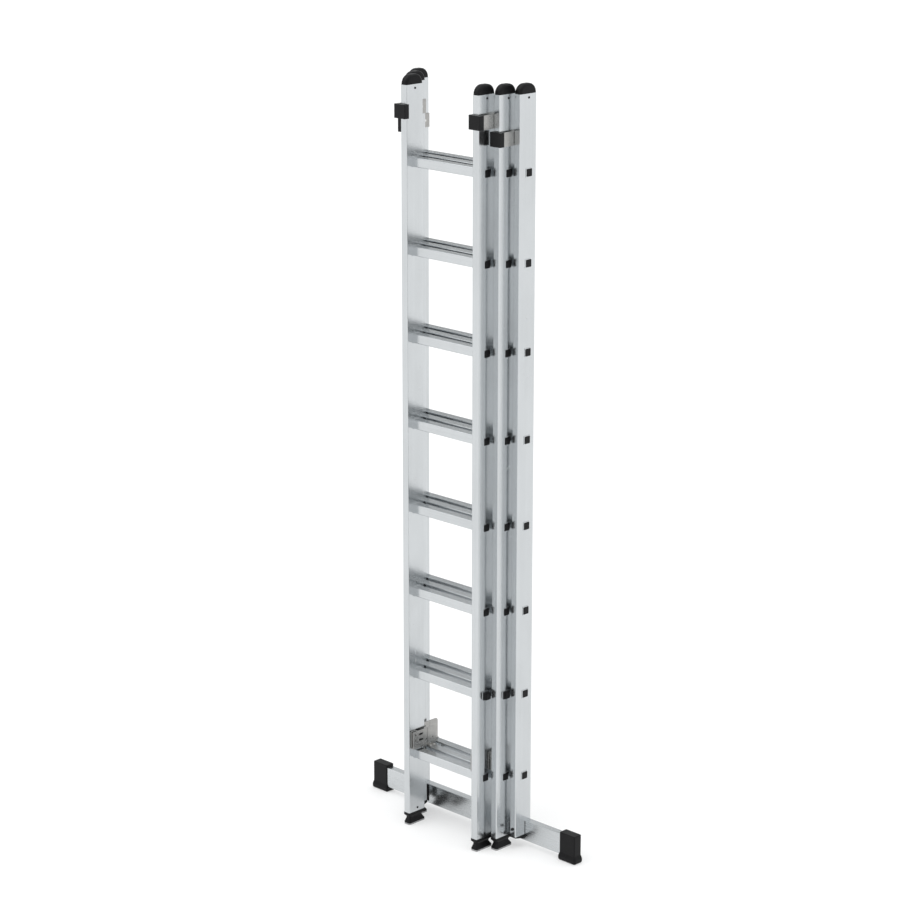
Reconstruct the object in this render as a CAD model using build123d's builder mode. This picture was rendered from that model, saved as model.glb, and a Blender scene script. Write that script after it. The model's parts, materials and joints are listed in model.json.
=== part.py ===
from build123d import *
import os

# A three-section extension ladder, closed up, standing upright on its stabiliser bar.
# +Z is up, -Y is the climbing side (front), +X is to the climber's right.
# The origin is on the floor, in the middle of the ladder's footprint.

os.makedirs("parts", exist_ok=True)

# ---------------------------------------------------------------- driving dimensions
LEFT, RIGHT = -1, 1
SIDES = (LEFT, RIGHT)
SECTIONS = ("front", "middle", "rear")

section_width = {"front": 332.0, "middle": 412.0, "rear": 484.0}
section_step = 51.0  # from one section's stile face to the next section's, front to back
rung_count = 8
rung_pitch = 280.0

stile_width = 25.0
stile_depth = 72.0
stile_length = 2406.0
stile_wall = 1.5
stile_corner = 3.0
spigot_clearance = 0.2
stile_bottom = 41.0  # height of the stiles' lower ends above the floor
lowest_rung = 247.0  # height of the lowest rung's axis above the floor

rung_size = 30.0
rung_wall = 1.5
rung_corner = 3.0
rung_set_back = 40.0  # from a stile's front face to the rung axis
tread_grooves = 4
tread_groove_pitch = 5.5
tread_groove_width = 2.0
tread_groove_depth = 1.0
collar_size = 33.0
collar_length = 4.0
neck_size = 26.0  # the rung is drawn in to this size where it passes through a stile
rim_size = 28.5
rim_length = 1.5
rim_mouth = 24.0

plug_proud = 0.8
plug_insert = 14.0
button_rung = 2  # the rung whose ends carry guide buttons, counted from below
button_base = 27.0
button_tip = 20.0
button_tip_length = 2.0
button_shoulder = 22.0
button_reach = {"front": 14.0, "middle": 10.0}

cap_height = 30.5
cap_overhang = 0.5
cap_shoulder = 29.0
cap_edge = 8.0
pin_radius = 3.5
pin_height = 1.0
pin_from_end = 12.0
pin_set_back = 38.0

foot_collar = (27.0, 74.0, 8.0)  # across, front to back, tall
foot_waist = (20.5, 57.0)
foot_waist_shift = 2.0  # how far the waist stands forward of the foot's middle
foot_upper_slope = 7.0  # heights of the slope under the collar and of the straight waist
foot_waist_height = 5.0
foot_rim = 3.0
foot_base = (27.0, 73.0)
foot_corner = 6.0
foot_insert = 25.0
sole_thickness = 5.0
sole_groove = (2.0, 1.5)  # wide, deep
sole_groove_pitch = 8.0
sole_grooves = 8

bracket_thickness = 2.5
bracket_height = 44.0
bracket_below_top = {"middle": 103.0, "rear": 156.0}  # from the stile top to the bracket's foot
bracket_rivet_set_backs = (18.0, 54.0)
bracket_leg_ahead = 8.0  # how far its leg stands in front of the stile it reaches over
bracket_leg_gap = 2.0  # between the end of the leg and that stile's inner face
claw_front = 12.7  # how far a claw stands in front of the stile that it grips
claw_grip = 7.0  # how far its two jaws reach back beside that stile
claw_inner_jaw = 5.3
claw_wall = 2.0  # thickness of the wall that hides the bracket's edge
claw_clearance = 0.5
claw_corner = 2.0

hook_thickness = 2.5
hook_gap = 8.0  # clear space between a hook's web and its stile
hook_start = 9.0  # distances from the front face of the stile that carries the hook
hook_end = 74.0
hook_bottom = 20.0  # heights above the lowest rung's axis
hook_top = 80.0
hook_foot = 23.0  # length of the foot that is riveted to the stile
hook_rivet_set_back = 20.0
hook_rivet_heights = (48.5, 68.0)
hook_access_radius = 3.0
hook_slot = (20.0, 7.0)
hook_slot_set_back = 45.0
hook_slot_heights = (47.0, 66.0)
hook_hole_radius = 2.8
hook_hole_place = (69.0, 42.0)
hook_tongue = (58.5, 64.0)
hook_tongue_bottom = 5.0
keeper_start = 75.0
keeper_end = 112.0
keeper_tongue = 8.0  # how far its tongue reaches below the rung axis
keeper_corner = 10.0
keeper_hole_radius = 2.5
keeper_hole_place = (98.0, 42.0)
keeper_slot = (16.0, 3.5)
keeper_slot_place = (86.0, 23.5)
keeper_foot = 12.0  # how far its foot reaches inwards along the rung
keeper_foot_inset = 2.0  # from the rung's front and back to the foot's edges
keeper_rivet_spread = 16.0
rivet_radius = 2.4
rivet_head_radius = 4.0
rivet_head = 1.2
rivet_head_taper = 30.0

bar_length = 910.0
bar_depth = 27.0
bar_height = 68.0
bar_wall = 2.0
bar_corner = 1.5
bar_bottom = 18.5
bar_set_back = 45.0  # from the rear stiles' front face to the bar's front face
bar_lining = 2.0  # thickness of the lining between the bar and the front of its notch
lining_flange = 20.0  # how far the lining reaches past a stile's inner face
insert_front = 3.0  # how far an insert reaches below its stile, at the front
insert_back = 14.0  # and at the back, beside the lining
insert_spigot = 15.0
lining_low = 8.0  # from the bar's underside up to the lining's lower edge
lining_high = 2.0  # from the lining's upper edge up to the top of the bar
sleeve_length = 65.0
sleeve_wall = 3.0
sleeve_top = 96.0
sleeve_end_wall = 5.0
sleeve_corner = 4.0
sleeve_edge = 2.5
flare_side = 5.0
flare_depth = 4.0
flare_start = 27.0
flare_end = 15.0
heel_corner = 8.0
heel_edge = 7.5
bolt_height = 67.0
bolt_radius = 3.0
bolt_head_radius = 5.2
bolt_head_height = 3.5
bolt_head_taper = 12.0
nut_radius = 5.8
nut_height = 5.0

# ---------------------------------------------------------------- derived positions
overall_depth = (claw_front + 2 * section_step + bar_set_back + bar_depth
                 + sleeve_wall + flare_depth)
front_stile_face = claw_front - overall_depth / 2
stile_top = stile_bottom + stile_length
bar_front = front_stile_face + 2 * section_step + bar_set_back
bar_middle = bar_front + bar_depth / 2
bar_top = bar_bottom + bar_height


def stile_face(section):
    """Y of the front face of a section's stiles."""
    return front_stile_face + SECTIONS.index(section) * section_step


def outer_face(section):
    """Distance of a section's outer stile faces from the ladder's centre plane."""
    return section_width[section] / 2


def inner_face(section):
    return outer_face(section) - stile_width


def rung_axis(section):
    return stile_face(section) + rung_set_back


def rung_height(number):
    """Height of a rung's axis, rung 1 being the lowest."""
    return lowest_rung + (number - 1) * rung_pitch


def stile_middle(section, side):
    """The middle of a stile's section, seen from above."""
    across = side * (outer_face(section) - stile_width / 2)
    return (across, stile_face(section) + stile_depth / 2)


def side_plane(side, distance):
    """A plane facing away from the ladder, parallel to its centre plane; drawn in Y and Z."""
    return Plane.YZ.offset(side * distance)


def block(side, across, y, z, mode=Mode.ADD):
    """A box on one side of the ladder: distances from its centre plane, then Y, then Z."""
    middle = (side * sum(across) / 2, sum(y) / 2, sum(z) / 2)
    with Locations(middle):
        return Box(abs(across[1] - across[0]), y[1] - y[0], z[1] - z[0], mode=mode)


def ring(outer, inner, corner):
    """A rounded square with a rounded square opening."""
    RectangleRounded(outer, outer, corner)
    RectangleRounded(inner, inner, corner, mode=Mode.SUBTRACT)


def tube_filler(depth):
    """The outline of a spigot that fits inside a stile or its cut-down front."""
    across = stile_width - 2 * (stile_wall + spigot_clearance)
    along = depth - 2 * (stile_wall + spigot_clearance)
    RectangleRounded(across, along, stile_corner - stile_wall)


def save(piece, name):
    piece.part.label = name
    export_step(piece.part, f"parts/{name}.step")


def hook_rivet_places(section):
    """Y and Z of the two rivets that hold a hook plate to its stile."""
    y = stile_face(section) + hook_rivet_set_back
    return [(y, lowest_rung + height) for height in hook_rivet_heights]


def hook_web(section):
    """Distances of the two faces of a hook's web from the ladder's centre plane."""
    outer = inner_face(section) - hook_gap
    return (outer - hook_thickness, outer)


def keeper_rivet_places(section):
    """The four rivets that hold a pair of keepers to the section's lowest rung."""
    carrier = SECTIONS[SECTIONS.index(section) - 1]
    across = hook_web(carrier)[0] - keeper_foot / 2
    top = lowest_rung + rung_size / 2
    places = []
    for side in SIDES:
        for shift in (-keeper_rivet_spread / 2, keeper_rivet_spread / 2):
            places.append((side * across, rung_axis(section) + shift, top))
    return places


def bracket_rivet_places(section):
    """Y and Z of the two rivets that hold a guide bracket to its stile."""
    z = stile_top - bracket_below_top[section] + bracket_height / 2
    return [(stile_face(section) + set_back, z) for set_back in bracket_rivet_set_backs]


# ---------------------------------------------------------------- rungs
# One rung is drawn for each section and repeated up the ladder.
for section in SECTIONS:
    axis = (rung_axis(section), lowest_rung)
    tread = (axis[0], axis[1] + rung_size / 2)
    bore = neck_size - 2 * rung_wall
    with BuildPart() as rung:
        with BuildSketch(side_plane(LEFT, inner_face(section))):
            with Locations(axis):
                ring(rung_size, rung_size - 2 * rung_wall, rung_corner)
            with Locations(tread):
                with GridLocations(tread_groove_pitch, 1, tread_grooves, 1):
                    Rectangle(tread_groove_width, 2 * tread_groove_depth, mode=Mode.SUBTRACT)
        extrude(amount=2 * inner_face(section))
        for side in SIDES:
            with BuildSketch(side_plane(side, inner_face(section))):
                with Locations(axis):
                    ring(collar_size, bore, rung_corner)
            extrude(amount=-side * collar_length)
            with BuildSketch(side_plane(side, inner_face(section))):
                with Locations(axis):
                    ring(neck_size, bore, rung_corner)
            extrude(amount=side * stile_width)
            with BuildSketch(side_plane(side, outer_face(section))):
                with Locations(axis):
                    ring(rim_size, rim_mouth, rung_corner)
            extrude(amount=side * rim_length)
    for number in range(2, rung_count + 1):
        copy = rung.part.moved(Location((0, 0, rung_height(number) - lowest_rung)))
        copy.label = f"{section}_rung_{number}"
        export_step(copy, f"parts/{copy.label}.step")
    if section == "front":
        save(rung, "front_rung_1")
        continue
    # The lowest rung is drilled for the rivets of the hook keepers.
    with BuildPart() as drilled_rung:
        add(rung.part)
        with Locations(*keeper_rivet_places(section)):
            Cylinder(rivet_radius, 4 * rung_wall, mode=Mode.SUBTRACT)
    save(drilled_rung, f"{section}_rung_1")

# ---------------------------------------------------------------- stiles
for section in SECTIONS:
    for side, side_name in zip(SIDES, ("left", "right")):
        with BuildPart() as stile:
            with BuildSketch(Plane.XY.offset(stile_bottom)):
                with Locations(stile_middle(section, side)):
                    RectangleRounded(stile_width, stile_depth, stile_corner)
                    RectangleRounded(stile_width - 2 * stile_wall, stile_depth - 2 * stile_wall,
                                     stile_corner - stile_wall, mode=Mode.SUBTRACT)
            extrude(amount=stile_length)
            # Openings for the rungs, right through both walls.
            with BuildSketch(side_plane(side, outer_face(section))):
                for number in range(1, rung_count + 1):
                    with Locations((rung_axis(section), rung_height(number))):
                        RectangleRounded(neck_size, neck_size, rung_corner)
            extrude(amount=-side * stile_width, mode=Mode.SUBTRACT)
            # Holes for the pins of the cap and of the foot or plug.
            pin_y = stile_face(section) + pin_set_back
            with BuildSketch(side_plane(side, outer_face(section))):
                with Locations((pin_y, stile_top - pin_from_end)):
                    Circle(pin_radius)
                if section != "rear":
                    with Locations((pin_y, stile_bottom + pin_from_end)):
                        Circle(pin_radius)
            extrude(amount=-side * stile_width, mode=Mode.SUBTRACT)
            # Rivet holes in the inner wall.
            with BuildSketch(side_plane(side, inner_face(section))):
                if section != "rear":
                    with Locations(*hook_rivet_places(section)):
                        Circle(rivet_radius)
                if section != "front":
                    with Locations(*bracket_rivet_places(section)):
                        Circle(rivet_radius)
            extrude(amount=side * stile_wall, mode=Mode.SUBTRACT)
            if section == "rear":
                # A notch for the stabiliser bar and a hole for its bolt.
                faces = (inner_face(section), outer_face(section))
                block(side, faces, (bar_front - bar_lining, bar_front + stile_depth),
                      (stile_bottom, bar_top), mode=Mode.SUBTRACT)
                bolt_x = stile_middle(section, side)[0]
                with BuildSketch(Plane.XZ.offset(-stile_face(section))):
                    with Locations((bolt_x, bolt_height)):
                        Circle(bolt_radius)
                extrude(amount=-bar_set_back, mode=Mode.SUBTRACT)
        save(stile, f"{section}_stile_{side_name}")

# ---------------------------------------------------------------- rung end plugs
for section in SECTIONS:
    with BuildPart() as plugs:
        for side in SIDES:
            for number in range(1, rung_count + 1):
                if number == button_rung and section in button_reach:
                    continue
                axis = (rung_axis(section), rung_height(number))
                face = outer_face(section)
                with BuildSketch(side_plane(side, face)):
                    with Locations(axis):
                        RectangleRounded(rim_mouth, rim_mouth, rung_corner)
                extrude(amount=side * (rim_length + plug_proud / 2))
                crown = rim_mouth - 2 * plug_proud
                with BuildSketch(side_plane(side, face + rim_length + plug_proud / 2)):
                    with Locations(axis):
                        RectangleRounded(crown, crown, rung_corner)
                extrude(amount=side * plug_proud / 2)
                insert = neck_size - 2 * (rung_wall + spigot_clearance / 2)
                with BuildSketch(side_plane(side, face)):
                    with Locations(axis):
                        RectangleRounded(insert, insert, rung_corner)
                extrude(amount=-side * plug_insert)
    save(plugs, f"{section}_rung_plugs")

# ---------------------------------------------------------------- guide buttons
for section, reach in button_reach.items():
    with BuildPart() as buttons:
        axis = (rung_axis(section), rung_height(button_rung))
        seat = outer_face(section) + rim_length
        tip = outer_face(section) + reach
        for side in SIDES:
            with BuildSketch(side_plane(side, seat)):
                with Locations(axis):
                    RectangleRounded(button_base, button_base, rung_corner)
            with BuildSketch(side_plane(side, tip - button_tip_length)):
                with Locations(axis):
                    RectangleRounded(button_shoulder, button_shoulder, rung_corner)
            loft()
            with BuildSketch(side_plane(side, tip - button_tip_length)):
                with Locations(axis):
                    RectangleRounded(button_tip, button_tip, rung_corner)
            extrude(amount=side * button_tip_length)
            insert = neck_size - 2 * (rung_wall + spigot_clearance / 2)
            with BuildSketch(side_plane(side, seat)):
                with Locations(axis):
                    RectangleRounded(insert, insert, rung_corner)
            extrude(amount=-side * (plug_insert + rim_length))
    save(buttons, f"{section}_guide_buttons")

# ---------------------------------------------------------------- top caps
for section in SECTIONS:
    with BuildPart() as caps:
        width = stile_width + 2 * cap_overhang
        depth = stile_depth + 2 * cap_overhang
        for side in SIDES:
            middle = stile_middle(section, side)
            near_face = outer_face(section) - stile_width - cap_overhang
            with BuildSketch(side_plane(side, near_face)):
                with Locations((middle[1], stile_top)):
                    dome = Rectangle(depth, cap_height, align=(Align.CENTER, Align.MIN))
                shoulders = dome.vertices().group_by(Axis.Y)[-1]
                fillet(shoulders, radius=cap_shoulder)
            extrude(amount=side * width)
        crowns = caps.faces().filter_by(Axis.X).edges()
        fillet(crowns.filter_by(lambda edge: edge.center().Z > stile_top + 1), radius=cap_edge)
        for side in SIDES:
            middle = stile_middle(section, side)
            with BuildSketch(Plane.XY.offset(stile_top)):
                with Locations(middle):
                    tube_filler(stile_depth)
            extrude(amount=-foot_insert)
            with BuildSketch(side_plane(side, outer_face(section))):
                with Locations((stile_face(section) + pin_set_back, stile_top - pin_from_end)):
                    Circle(pin_radius)
            extrude(amount=-side * stile_width, mode=Mode.SUBTRACT)
    save(caps, f"{section}_top_caps")

# ---------------------------------------------------------------- feet and soles
for section in ("front", "middle"):
    collar_bottom = stile_bottom - foot_collar[2]
    waist_top = collar_bottom - foot_upper_slope
    waist_bottom = waist_top - foot_waist_height
    rim_top = sole_thickness + foot_rim
    with BuildPart() as feet:
        for side in SIDES:
            middle = stile_middle(section, side)
            waist_middle = (middle[0], middle[1] - foot_waist_shift)
            levels = (
                (collar_bottom, middle, foot_collar, waist_top, waist_middle, foot_waist),
                (waist_bottom, waist_middle, foot_waist, rim_top, middle, foot_base),
            )
            with BuildSketch(Plane.XY.offset(collar_bottom)):
                with Locations(middle):
                    RectangleRounded(foot_collar[0], foot_collar[1], stile_corner)
            extrude(amount=foot_collar[2])
            for upper, upper_at, upper_size, lower, lower_at, lower_size in levels:
                with BuildSketch(Plane.XY.offset(upper)):
                    with Locations(upper_at):
                        RectangleRounded(upper_size[0], upper_size[1], foot_corner)
                with BuildSketch(Plane.XY.offset(lower)):
                    with Locations(lower_at):
                        RectangleRounded(lower_size[0], lower_size[1], foot_corner)
                loft()
            with BuildSketch(Plane.XY.offset(waist_bottom)):
                with Locations(waist_middle):
                    RectangleRounded(foot_waist[0], foot_waist[1], foot_corner)
            extrude(amount=foot_waist_height)
            with BuildSketch(Plane.XY.offset(sole_thickness)):
                with Locations(middle):
                    RectangleRounded(foot_base[0], foot_base[1], foot_corner)
            extrude(amount=foot_rim)
            with BuildSketch(Plane.XY.offset(stile_bottom)):
                with Locations(middle):
                    tube_filler(stile_depth)
            extrude(amount=foot_insert)
            with BuildSketch(side_plane(side, outer_face(section))):
                with Locations((stile_face(section) + pin_set_back, stile_bottom + pin_from_end)):
                    Circle(pin_radius)
            extrude(amount=-side * stile_width, mode=Mode.SUBTRACT)
    save(feet, f"{section}_feet")

    with BuildPart() as soles:
        for side in SIDES:
            middle = stile_middle(section, side)
            with BuildSketch():
                with Locations(middle):
                    RectangleRounded(foot_base[0], foot_base[1], foot_corner)
            extrude(amount=sole_thickness)
            # Grip grooves across the tread.
            with Locations((middle[0], middle[1], 0)):
                with GridLocations(1, sole_groove_pitch, 1, sole_grooves):
                    Box(2 * foot_base[0], sole_groove[0], 2 * sole_groove[1],
                        mode=Mode.SUBTRACT)
    save(soles, f"{section}_soles")

# ---------------------------------------------------------------- guide brackets and claws
# Each is carried by one section and grips the stile of the section in front of it.
for section, gripped in (("middle", "front"), ("rear", "middle")):
    foot = stile_top - bracket_below_top[section]
    heights = (foot, foot + bracket_height)
    gripped_face = stile_face(gripped)
    plate = (inner_face(section) - bracket_thickness, inner_face(section))
    leg_front = gripped_face - bracket_leg_ahead
    leg = (leg_front, leg_front + bracket_thickness)
    leg_end = inner_face(gripped) + bracket_leg_gap
    back_edge = stile_face(section) + stile_depth
    with BuildPart() as brackets:
        for side in SIDES:
            block(side, plate, (leg[0], back_edge), heights)
            block(side, (leg_end, plate[1]), leg, heights)
            with BuildSketch(side_plane(side, plate[0])):
                with Locations(*bracket_rivet_places(section)):
                    Circle(rivet_radius)
            extrude(amount=side * bracket_thickness, mode=Mode.SUBTRACT)
    save(brackets, f"{section}_guide_brackets")

    jaw_tip = gripped_face + claw_grip
    stile_gap = (inner_face(gripped) - claw_clearance, outer_face(gripped) + claw_clearance)
    claw_span = (inner_face(gripped) - claw_inner_jaw, plate[1] + claw_wall)
    with BuildPart() as claws:
        for side in SIDES:
            width = claw_span[1] - claw_span[0]
            claw_middle = side * sum(claw_span) / 2
            claw_y = (gripped_face - claw_front + jaw_tip) / 2
            with BuildSketch(Plane.XY.offset(foot)):
                with Locations((claw_middle, claw_y)):
                    RectangleRounded(width, claw_front + claw_grip, claw_corner)
            extrude(amount=bracket_height)
            # The stile's channel, then the pocket that the bracket fills.
            block(side, stile_gap, (gripped_face - claw_clearance, jaw_tip), heights,
                  mode=Mode.SUBTRACT)
            block(side, plate, (leg[0], jaw_tip), heights, mode=Mode.SUBTRACT)
            block(side, (leg_end, plate[1]), leg, heights, mode=Mode.SUBTRACT)
    save(claws, f"{section}_guide_claws")

# ---------------------------------------------------------------- rung hooks and keepers
for section, neighbour in (("front", "middle"), ("middle", "rear")):
    face = stile_face(section)
    web = hook_web(section)
    low = lowest_rung + hook_bottom
    high = lowest_rung + hook_top
    with BuildPart() as hooks:
        start, end = face + hook_start, face + hook_end
        tongue = (face + hook_tongue[0], face + hook_tongue[1])
        tongue_low = lowest_rung + hook_tongue_bottom
        foot = (inner_face(section) - hook_thickness, inner_face(section))
        for side in SIDES:
            with BuildSketch(side_plane(side, web[0])):
                with BuildLine():
                    Polyline((start, low), (tongue[0], low), (tongue[0], tongue_low),
                             (tongue[1], tongue_low), (tongue[1], low), (end, low),
                             (end, high), (start, high), close=True)
                make_face()
                with Locations(*hook_rivet_places(section)):
                    Circle(hook_access_radius, mode=Mode.SUBTRACT)
                with Locations((face + hook_hole_place[0], lowest_rung + hook_hole_place[1])):
                    Circle(hook_hole_radius, mode=Mode.SUBTRACT)
                for height in hook_slot_heights:
                    with Locations((face + hook_slot_set_back, lowest_rung + height)):
                        SlotOverall(hook_slot[0], hook_slot[1], mode=Mode.SUBTRACT)
            extrude(amount=side * hook_thickness)
            # Behind the web, the sheet is folded back to a foot that is riveted to the stile.
            fold = start + hook_foot
            block(side, (web[0], foot[1]), (fold - hook_thickness, fold), (low, high))
            block(side, foot, (start, fold), (low, high))
            with BuildSketch(side_plane(side, foot[0])):
                with Locations(*hook_rivet_places(section)):
                    Circle(rivet_radius)
            extrude(amount=side * hook_thickness, mode=Mode.SUBTRACT)
    save(hooks, f"{section}_hook_plates")

    with BuildPart() as keepers:
        start, end = face + keeper_start, face + keeper_end
        rung_back = rung_axis(neighbour) + rung_size / 2
        rung_front = rung_axis(neighbour) - rung_size / 2
        rung_top = lowest_rung + rung_size / 2
        tongue_low = lowest_rung - keeper_tongue
        for side in SIDES:
            with BuildSketch(side_plane(side, web[0])):
                with BuildLine():
                    Polyline((start, rung_top), (rung_back, rung_top), (rung_back, tongue_low),
                             (end, tongue_low), (end, high), (start, high), close=True)
                plate_face = make_face()
                top_corners = plate_face.vertices().group_by(Axis.Y)[-1]
                fillet(top_corners.sort_by(Axis.X)[-1], radius=keeper_corner)
                with Locations((face + keeper_hole_place[0],
                                lowest_rung + keeper_hole_place[1])):
                    Circle(keeper_hole_radius, mode=Mode.SUBTRACT)
                with Locations((face + keeper_slot_place[0],
                                lowest_rung + keeper_slot_place[1])):
                    SlotOverall(keeper_slot[0], keeper_slot[1], mode=Mode.SUBTRACT)
            extrude(amount=side * hook_thickness)
            # The foot that is riveted to the top of the rung.
            foot_edges = (rung_front + keeper_foot_inset, rung_back - keeper_foot_inset)
            block(side, (web[0] - keeper_foot, web[0]), foot_edges,
                  (rung_top, rung_top + hook_thickness))
        with Locations(*keeper_rivet_places(neighbour)):
            Cylinder(rivet_radius, 4 * hook_thickness, mode=Mode.SUBTRACT)
    save(keepers, f"{neighbour}_hook_keepers")

# ---------------------------------------------------------------- stabiliser bar
with BuildPart() as bar:
    with BuildSketch(Plane.YZ.offset(-bar_length / 2)):
        with Locations((bar_middle, bar_bottom + bar_height / 2)):
            RectangleRounded(bar_depth, bar_height, bar_corner)
            Rectangle(bar_depth - 2 * bar_wall, bar_height - 2 * bar_wall,
                      mode=Mode.SUBTRACT)
    extrude(amount=bar_length)
    with BuildSketch(Plane.XZ.offset(-bar_front)):
        for side in SIDES:
            with Locations((stile_middle("rear", side)[0], bolt_height)):
                Circle(bolt_radius)
    extrude(amount=-bar_depth, mode=Mode.SUBTRACT)
save(bar, "stabiliser_bar")

with BuildPart() as bar_caps:
    outer_end = bar_length / 2 + sleeve_end_wall
    sleeve_depth = bar_depth + 2 * sleeve_wall
    foot_length = sleeve_length + 2 * flare_side
    foot_depth = sleeve_depth + 2 * flare_depth
    for side in SIDES:
        middle = (side * (outer_end - sleeve_length / 2), bar_middle)
        with BuildSketch(Plane.XY.offset(flare_start)):
            with Locations(middle):
                RectangleRounded(sleeve_length, sleeve_depth, sleeve_corner)
        extrude(amount=sleeve_top - flare_start)
        with BuildSketch(Plane.XY.offset(flare_start)):
            with Locations(middle):
                RectangleRounded(sleeve_length, sleeve_depth, sleeve_corner)
        with BuildSketch(Plane.XY.offset(flare_end)):
            with Locations(middle):
                RectangleRounded(foot_length, foot_depth, heel_corner)
        loft()
        with BuildSketch():
            with Locations(middle):
                RectangleRounded(foot_length, foot_depth, heel_corner)
        extrude(amount=flare_end)
    fillet(bar_caps.edges().group_by(Axis.Z)[0], radius=heel_edge)
    fillet(bar_caps.edges().group_by(Axis.Z)[-1], radius=sleeve_edge)
    # The socket that the bar is pushed into.
    with BuildSketch(Plane.YZ.offset(-bar_length / 2)):
        with Locations((bar_middle, bar_bottom + bar_height / 2)):
            RectangleRounded(bar_depth, bar_height, bar_corner)
    extrude(amount=bar_length, mode=Mode.SUBTRACT)
save(bar_caps, "bar_end_caps")

with BuildPart() as bar_bolts:
    head_seat = stile_face("rear")
    bar_back = bar_front + bar_depth
    for side in SIDES:
        bolt_x = stile_middle("rear", side)[0]
        with BuildSketch(Plane.XZ.offset(-head_seat)):
            with Locations((bolt_x, bolt_height)):
                Circle(bolt_head_radius)
        extrude(amount=bolt_head_height, taper=bolt_head_taper)
        with BuildSketch(Plane.XZ.offset(-head_seat)):
            with Locations((bolt_x, bolt_height)):
                Circle(bolt_radius)
        extrude(amount=-(bar_back - head_seat + nut_height))
        with BuildSketch(Plane.XZ.offset(-bar_back)):
            with Locations((bolt_x, bolt_height)):
                RegularPolygon(nut_radius, 6)
        extrude(amount=-nut_height)
save(bar_bolts, "bar_bolts")

# Each insert closes a rear stile's lower end and lines the bar's seat.
with BuildPart() as stile_inserts:
    tube_face = stile_face("rear")
    lining_front = bar_front - bar_lining
    tube_depth = lining_front - tube_face
    for side in SIDES:
        middle = (stile_middle("rear", side)[0], tube_face + tube_depth / 2)
        # The foot of the insert slopes down towards the bar.
        with BuildSketch(side_plane(side, inner_face("rear"))):
            with BuildLine():
                Polyline((tube_face, stile_bottom), (tube_face, stile_bottom - insert_front),
                         (lining_front, stile_bottom - insert_back),
                         (lining_front, stile_bottom), close=True)
            make_face()
        extrude(amount=side * stile_width)
        with BuildSketch(Plane.XY.offset(stile_bottom)):
            with Locations(middle):
                tube_filler(tube_depth)
        extrude(amount=insert_spigot)
        lining = (inner_face("rear") - lining_flange, outer_face("rear"))
        block(side, lining, (lining_front, bar_front),
              (bar_bottom + lining_low, bar_top - lining_high))
        with BuildSketch(Plane.XZ.offset(-tube_face)):
            with Locations((middle[0], bolt_height)):
                Circle(bolt_radius)
        extrude(amount=-bar_set_back, mode=Mode.SUBTRACT)
save(stile_inserts, "rear_stile_inserts")

# ---------------------------------------------------------------- pins and rivets
for section in SECTIONS:
    with BuildPart() as pins:
        y = stile_face(section) + pin_set_back
        heights = [stile_top - pin_from_end]
        if section != "rear":
            heights.append(stile_bottom + pin_from_end)
        for side in SIDES:
            with BuildSketch(side_plane(side, outer_face(section) + pin_height)):
                with Locations(*[(y, height) for height in heights]):
                    Circle(pin_radius)
            extrude(amount=-side * (stile_width + 2 * pin_height))
    save(pins, f"{section}_pins")

for section in SECTIONS:
    with BuildPart() as rivets:
        for side in SIDES:
            places = []
            if section != "rear":
                seat = inner_face(section) - hook_thickness
                places += [(seat, place) for place in hook_rivet_places(section)]
            if section != "front":
                seat = inner_face(section) - bracket_thickness
                places += [(seat, place) for place in bracket_rivet_places(section)]
            for seat, place in places:
                with BuildSketch(side_plane(side, seat)):
                    with Locations(place):
                        Circle(rivet_head_radius)
                extrude(amount=-side * rivet_head, taper=rivet_head_taper)
                with BuildSketch(side_plane(side, seat)):
                    with Locations(place):
                        Circle(rivet_radius)
                extrude(amount=side * (inner_face(section) + stile_wall - seat))
        if section != "front":
            under_head = lowest_rung + rung_size / 2 + hook_thickness
            spots = [place[:2] for place in keeper_rivet_places(section)]
            with BuildSketch(Plane.XY.offset(under_head)):
                with Locations(*spots):
                    Circle(rivet_head_radius)
            extrude(amount=rivet_head, taper=rivet_head_taper)
            with BuildSketch(Plane.XY.offset(under_head)):
                with Locations(*spots):
                    Circle(rivet_radius)
            extrude(amount=-(hook_thickness + rung_wall))
    save(rivets, f"{section}_rivets")
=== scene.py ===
import json
import math

import bpy
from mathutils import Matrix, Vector

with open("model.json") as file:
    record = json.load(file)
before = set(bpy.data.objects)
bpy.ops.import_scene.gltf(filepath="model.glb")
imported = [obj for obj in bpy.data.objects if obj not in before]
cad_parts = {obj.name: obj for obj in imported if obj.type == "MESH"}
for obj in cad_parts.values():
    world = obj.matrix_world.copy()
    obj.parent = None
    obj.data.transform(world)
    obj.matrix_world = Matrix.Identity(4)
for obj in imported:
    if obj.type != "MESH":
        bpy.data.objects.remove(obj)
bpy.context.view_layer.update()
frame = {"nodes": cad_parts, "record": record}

nodes = frame["nodes"]
scene = bpy.context.scene

# ---------------------------------------------------------------- camera
CAMERA_PLACE = (5.908, -6.052, 3.688)
CAMERA_TURN = math.radians(44.485)
CAMERA_DIP = math.radians(15.781)
CAMERA_LENS = 111.26
SENSOR_WIDTH = 36
CLIP_END = 60

camera_data = bpy.data.cameras.new("camera")
camera = bpy.data.objects.new("camera", camera_data)
scene.collection.objects.link(camera)
camera.location = CAMERA_PLACE
camera.rotation_euler = (math.pi / 2 - CAMERA_DIP, 0, CAMERA_TURN)
camera_data.lens = CAMERA_LENS
camera_data.sensor_width = SENSOR_WIDTH
camera_data.clip_end = CLIP_END
scene.camera = camera


# ---------------------------------------------------------------- material helpers
# Texture scales are repeats in a metre, and bump depths are in metres.
NOISE_ROUGHNESS = 0.55

DIE_LINES_ACROSS = 900.0
DIE_LINES_ALONG = 2.5
DIE_LINE_DEPTH = 0.000006
BANDS_ACROSS = 130.0
BANDS_ALONG = 0.8
HAZE_SCALE = (9.0, 9.0, 5.0)
SCRATCH_LENGTH_SCALE = 70.0
SCRATCH_WIDTH_SCALE = 2400.0
SCRATCH_ROUGHENING = 0.05
SHADED_TONE = 0.92

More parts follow.
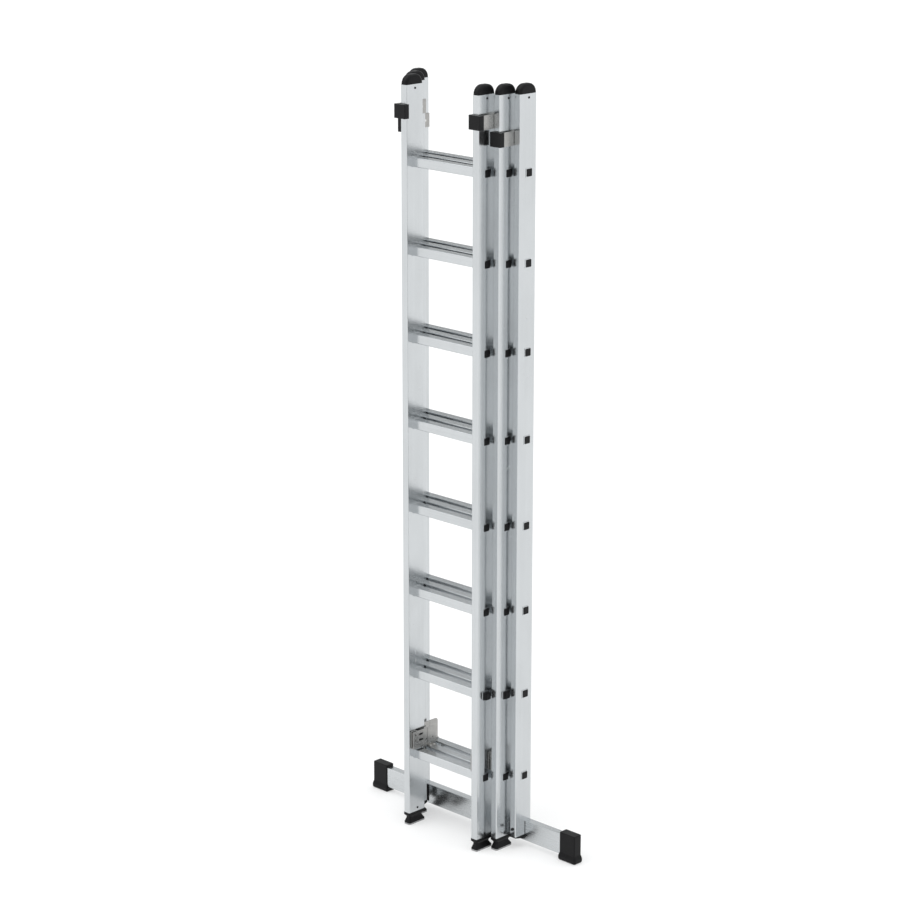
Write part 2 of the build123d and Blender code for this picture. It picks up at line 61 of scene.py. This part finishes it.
PLASTIC_SPECULAR = 0.18
PLASTIC_GRAIN = 2600.0
PLASTIC_GRAIN_DEPTH = 0.00004
PLASTIC_PATCH = 45.0
# Edge range and colour factor of the painted edge highlight on black plastic.
PLASTIC_HIGHLIGHT_EDGE = (0.54, 0.66)
PLASTIC_HIGHLIGHT_TONE = 4.5

ZINC_SPANGLE = 260.0
ZINC_CLOUD = 60.0
ZINC_CLOUD_DEPTH = 0.00005
# Edge range of the painted highlight on zinc, and the pale colour shared by the random cloud
# and that highlight.
ZINC_HIGHLIGHT_EDGE = (0.56, 0.70)
ZINC_PALE_CLOUD_AND_HIGHLIGHT = (0.43, 0.425, 0.41)

RUBBER_COLOR = (0.3, 0.3, 0.305)
RUBBER_ROUGHNESS = 0.72
RUBBER_DUST = 120.0
RUBBER_CLEAN = (0.25, 0.25, 0.255)
RUBBER_DUSTY = (0.36, 0.36, 0.36)
RUBBER_PORES = 1800.0
RUBBER_PORE_DEPTH = 0.00006

STEEL_SCUFF = 500.0
STEEL_SCUFF_DEPTH = 0.00002
STEEL_PALE_TONE = 1.25


def even(scale):
    """The same scale along all three axes."""
    return (scale, scale, scale)


class Shader:
    """A node tree with one Principled shader, and short calls that add to it."""

    def __init__(self, name, color, metallic, roughness, ior=1.5):
        self.material = bpy.data.materials.new(name)
        self.material.use_nodes = True
        self.tree = self.material.node_tree
        self.surface = self.tree.nodes["Principled BSDF"]
        self.surface.inputs["Base Color"].default_value = (*color, 1)
        self.surface.inputs["Metallic"].default_value = metallic
        self.surface.inputs["Roughness"].default_value = roughness
        self.surface.inputs["IOR"].default_value = ior
        self.place = self.tree.nodes.new("ShaderNodeTexCoord").outputs["Object"]
        self.last_bump = None

    def link(self, source, target):
        self.tree.links.new(source, target)

    def stretched(self, scale):
        """Object coordinates in metres, multiplied along each axis."""
        mapping = self.tree.nodes.new("ShaderNodeMapping")
        mapping.inputs["Scale"].default_value = scale
        self.link(self.place, mapping.inputs["Vector"])
        return mapping.outputs["Vector"]

    def noise(self, scale, detail=3.0):
        texture = self.tree.nodes.new("ShaderNodeTexNoise")
        texture.inputs["Scale"].default_value = 1.0
        texture.inputs["Detail"].default_value = detail
        texture.inputs["Roughness"].default_value = NOISE_ROUGHNESS
        self.link(self.stretched(scale), texture.inputs["Vector"])
        return texture.outputs["Fac"]

    def cells(self, scale):
        texture = self.tree.nodes.new("ShaderNodeTexVoronoi")
        texture.inputs["Scale"].default_value = 1.0
        self.link(self.stretched(scale), texture.inputs["Vector"])
        return texture.outputs["Color"]

    def spread(self, value, low, high, start=0.3, end=0.7):
        """Takes a texture value from start..end to low..high."""
        node = self.tree.nodes.new("ShaderNodeMapRange")
        node.inputs["From Min"].default_value = start
        node.inputs["From Max"].default_value = end
        node.inputs["To Min"].default_value = low
        node.inputs["To Max"].default_value = high
        self.link(value, node.inputs["Value"])
        return node.outputs["Result"]

    def blend(self, factor, first, second):
        node = self.tree.nodes.new("ShaderNodeMix")
        node.data_type = "RGBA"
        self.link(factor, node.inputs["Factor"])
        for socket, color in (("A", first), ("B", second)):
            target = [s for s in node.inputs if s.name == socket and s.type == "RGBA"][0]
            target.default_value = (*color, 1)
        return [s for s in node.outputs if s.type == "RGBA"][0]

    def edges(self, start, end):
        """From 0 on flat faces to 1 on outward edges."""
        geometry = self.tree.nodes.new("ShaderNodeNewGeometry")
        return self.spread(geometry.outputs["Pointiness"], 0, 1, start, end)

    def combine(self, operation, first, second):
        node = self.tree.nodes.new("ShaderNodeMath")
        node.operation = operation
        self.link(first, node.inputs[0])
        self.link(second, node.inputs[1])
        return node.outputs["Value"]

    def color(self, value):
        self.link(value, self.surface.inputs["Base Color"])

    def roughness(self, value):
        self.link(value, self.surface.inputs["Roughness"])

    def bump(self, height, distance):
        """Adds a bump; distance is in metres."""
        node = self.tree.nodes.new("ShaderNodeBump")
        node.inputs["Strength"].default_value = 1.0
        node.inputs["Distance"].default_value = distance
        self.link(height, node.inputs["Height"])
        if self.last_bump:
            self.link(self.last_bump, node.inputs["Normal"])
        self.last_bump = node.outputs["Normal"]
        self.link(self.last_bump, self.surface.inputs["Normal"])


def drawn_aluminium(name, along, base=(0.595, 0.615, 0.628), rough=0.2):
    """Bright drawn tube: die lines along it, a haze of handling, and a few fine scratches."""
    shader = Shader(name, base, 1.0, rough)
    die = list(even(DIE_LINES_ACROSS))
    die[along] = DIE_LINES_ALONG
    band = list(even(BANDS_ACROSS))
    band[along] = BANDS_ALONG
    scratch = list(even(SCRATCH_LENGTH_SCALE))
    scratch[(along + 1) % 3] = SCRATCH_WIDTH_SCALE
    lines = shader.noise(die, detail=2.0)
    bands = shader.noise(band, detail=2.0)
    haze = shader.noise(HAZE_SCALE, detail=4.0)
    rare = shader.spread(shader.noise(scratch, detail=1.0), 0, 1, 0.70, 0.76)
    darker = tuple(c * SHADED_TONE for c in base)
    tone = shader.combine("ADD", shader.spread(haze, 0, 0.6, 0.35, 0.65),
                          shader.spread(bands, 0, 0.4, 0.35, 0.65))
    shader.color(shader.blend(tone, base, darker))
    satin = shader.spread(lines, rough - 0.035, rough + 0.045)
    scratched = shader.spread(rare, 0, SCRATCH_ROUGHENING, 0, 1)
    scuffed = shader.combine("ADD", satin, scratched)
    shader.roughness(shader.combine("ADD", scuffed, shader.spread(haze, -0.015, 0.02)))
    shader.bump(lines, DIE_LINE_DEPTH)
    return shader.material


def moulded_plastic(name, base=(0.003, 0.003, 0.0034), rough=0.42):
    """Black plastic with a fine spark-eroded grain and random paler patches; its outward edges
    are paler as a painted highlight.
    """
    shader = Shader(name, base, 0.0, rough, ior=1.48)
    shader.surface.inputs["Specular IOR Level"].default_value = PLASTIC_SPECULAR
    grain = shader.noise(even(PLASTIC_GRAIN), detail=2.0)
    patch = shader.noise(even(PLASTIC_PATCH))
    # Painted highlight: outward edges get a paler colour, scaled by the patch noise.
    painted_edge_highlight = shader.combine("MULTIPLY", shader.edges(*PLASTIC_HIGHLIGHT_EDGE),
                            shader.spread(patch, 0.5, 1))
    shader.roughness(shader.spread(patch, rough - 0.06, rough + 0.08))
    # The colour mixes random paler patches with the painted edge highlight.
    tone = shader.combine("MAXIMUM", shader.spread(patch, 0, 0.25), painted_edge_highlight)
    shader.color(shader.blend(tone, base, tuple(c * PLASTIC_HIGHLIGHT_TONE for c in base)))
    shader.bump(grain, PLASTIC_GRAIN_DEPTH)
    return shader.material


def zinc_sheet(name, base=(0.34, 0.336, 0.328), rough=0.32):
    """Galvanised sheet: small pale spangles, cloudy tone, and outward edges made paler as a
    painted highlight.
    """
    shader = Shader(name, base, 1.0, rough)
    spangle = shader.cells(even(ZINC_SPANGLE))
    cloud = shader.noise(even(ZINC_CLOUD), detail=4.0)
    # Painted highlight: outward edges are blended towards the pale colour, together with the
    # random cloud.
    tone = shader.combine("MAXIMUM", shader.spread(cloud, 0, 0.8), shader.edges(*ZINC_HIGHLIGHT_EDGE))
    shader.color(shader.blend(tone, base, ZINC_PALE_CLOUD_AND_HIGHLIGHT))
    shader.roughness(shader.spread(spangle, rough - 0.07, rough + 0.08, 0.0, 1.0))
    shader.bump(cloud, ZINC_CLOUD_DEPTH)
    return shader.material


def ribbed_rubber(name):
    """Grey rubber with dust in its pores."""
    shader = Shader(name, RUBBER_COLOR, 0.0, RUBBER_ROUGHNESS)
    dust = shader.noise(even(RUBBER_DUST), detail=4.0)
    shader.color(shader.blend(shader.spread(dust, 0, 1), RUBBER_CLEAN, RUBBER_DUSTY))
    shader.bump(shader.noise(even(RUBBER_PORES)), RUBBER_PORE_DEPTH)
    return shader.material


def turned_steel(name, base, rough):
    """Bare or blackened steel with light tool marks."""
    shader = Shader(name, base, 1.0, rough)
    scuff = shader.noise(even(STEEL_SCUFF))
    pale = tuple(c * STEEL_PALE_TONE for c in base)
    shader.color(shader.blend(shader.spread(scuff, 0, 1), base, pale))
    shader.roughness(shader.spread(scuff, rough - 0.06, rough + 0.08))
    shader.bump(scuff, STEEL_SCUFF_DEPTH)
    return shader.material


finishes = {
    "stile_aluminium": drawn_aluminium("stile_aluminium", along=2),
    "rung_aluminium": drawn_aluminium("rung_aluminium", along=0),
    "zinc_steel": zinc_sheet("zinc_steel"),
    "rivet_steel": turned_steel("rivet_steel", (0.60, 0.60, 0.59), 0.3),
    "dark_steel": turned_steel("dark_steel", (0.03, 0.03, 0.03), 0.45),
    "black_plastic": moulded_plastic("black_plastic"),
    "grey_rubber": ribbed_rubber("grey_rubber"),
}
bar_finish = drawn_aluminium("bar_aluminium", along=0, rough=0.25)

slot_of = {entry["node"]: entry["material_slot"] for entry in frame["record"]["subparts"]}
for name, thing in nodes.items():
    finish = finishes[slot_of[name]]
    if name == "stabiliser_bar":
        finish = bar_finish
    for place in thing.material_slots:
        place.material = finish

# ---------------------------------------------------------------- floor and light
FLOOR_REACH = 90.0
FLOOR_GREY = 0.55
FLOOR_ROUGHNESS = 0.8
FLOOR_GLOW = 0.42

floor_mesh = bpy.data.meshes.new("floor")
floor_mesh.from_pydata([(-FLOOR_REACH, -FLOOR_REACH, 0), (FLOOR_REACH, -FLOOR_REACH, 0),
                        (FLOOR_REACH, FLOOR_REACH, 0), (-FLOOR_REACH, FLOOR_REACH, 0)],
                       [], [(0, 1, 2, 3)])
floor = bpy.data.objects.new("floor", floor_mesh)
scene.collection.objects.link(floor)
floor_shader = Shader("floor", (FLOOR_GREY,) * 3, 0.0, FLOOR_ROUGHNESS)
floor_shader.surface.inputs["Emission Color"].default_value = (1, 1, 1, 1)
floor_shader.surface.inputs["Emission Strength"].default_value = FLOOR_GLOW
floor_mesh.materials.append(floor_shader.material)

SKY_COLOR = (0.98, 0.995, 1.0, 1)
SKY_AT_HORIZON = 1.03
SKY_ABOVE = 0.76
SKY_FADE_END = 0.17

world = bpy.data.worlds.new("studio")
scene.world = world
world.use_nodes = True
background = world.node_tree.nodes["Background"]
background.inputs["Color"].default_value = SKY_COLOR

# The sky is as white as the floor at the horizon, and dimmer from 10 degrees up.
sky_place = world.node_tree.nodes.new("ShaderNodeTexCoord")
sky_parts = world.node_tree.nodes.new("ShaderNodeSeparateXYZ")
sky_fade = world.node_tree.nodes.new("ShaderNodeMapRange")
sky_fade.inputs["From Max"].default_value = SKY_FADE_END
sky_fade.inputs["To Min"].default_value = SKY_AT_HORIZON
sky_fade.inputs["To Max"].default_value = SKY_ABOVE
world.node_tree.links.new(sky_place.outputs["Generated"], sky_parts.inputs["Vector"])
world.node_tree.links.new(sky_parts.outputs["Z"], sky_fade.inputs["Value"])
world.node_tree.links.new(sky_fade.outputs["Result"], background.inputs["Strength"])


def soft_sun(name, place, strength, angle):
    """A very wide sun that shines from place towards the origin."""
    data = bpy.data.lights.new(name, "SUN")
    data.energy = strength
    data.angle = math.radians(angle)
    light = bpy.data.objects.new(name, data)
    scene.collection.objects.link(light)
    light.location = place
    light.rotation_euler = (-Vector(place)).to_track_quat("-Z", "Y").to_euler()


soft_sun("key", (-2.0, -3.0, 6.0), 1.15, 70)
soft_sun("fill", (3.5, 1.5, 6.0), 0.75, 80)

scene.view_settings.view_transform = "Standard"
